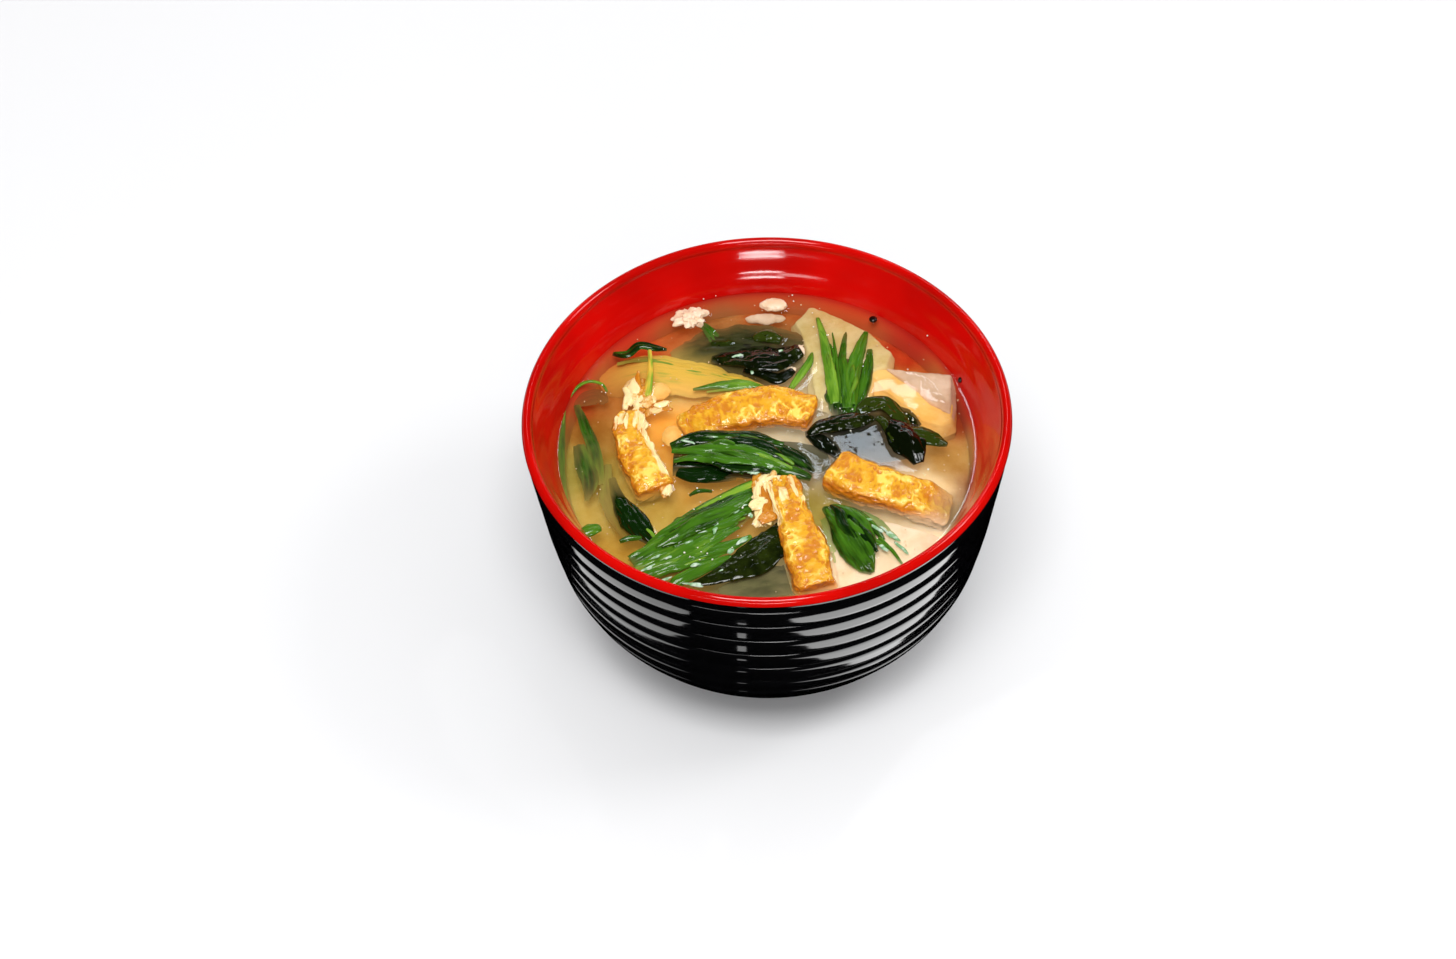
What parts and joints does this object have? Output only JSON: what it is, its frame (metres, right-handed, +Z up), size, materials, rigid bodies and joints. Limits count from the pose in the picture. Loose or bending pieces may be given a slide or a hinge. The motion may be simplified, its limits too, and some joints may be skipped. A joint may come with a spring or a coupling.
{
  "type": "miso soup",
  "caption": "Round lacquer bowl, ribbed black outside and red inside, filled with cloudy soup in which strips of fried tofu, spinach, seaweed and soft tofu float.",
  "frame": {"origin": "centre of the foot ring's underside, on the surface the bowl stands on", "axes": "+Z up along the bowl's axis, -Y towards the side the bowl is seen from, +X to its right"},
  "size_m": [0.12, 0.12, 0.072],
  "materials": {
    "bowl_lacquer": "high-gloss black lacquer outside, bright red lacquer inside and over the lip",
    "broth": "cloudy golden-tan liquid with a still, glossy surface",
    "fried_tofu": "golden, wrinkled and blistered fried skin, cream where it is cut",
    "spinach": "wet dark green leaf and paler stalks, glossy",
    "wakame": "wet, nearly black green seaweed, very glossy",
    "tofu": "smooth cream, slightly translucent, wet"
  },
  "bodies": {
    "root": {"bowl": "bowl_lacquer", "broth": "broth", "fried_tofu_left": "fried_tofu", "fried_tofu_back": "fried_tofu", "fried_tofu_right": "fried_tofu", "fried_tofu_front": "fried_tofu", "spinach_centre": "spinach", "spinach_front_left": "spinach", "spinach_front_right": "spinach", "spinach_left": "spinach", "spinach_back_right": "spinach", "wakame_back": "wakame", "wakame_right": "wakame", "wakame_front": "wakame", "tofu_back_right": "tofu", "tofu_right": "tofu", "tofu_crumb_left": "tofu", "tofu_shreds_left": "tofu", "tofu_crumb_back": "tofu"}
  },
  "joints": []
}
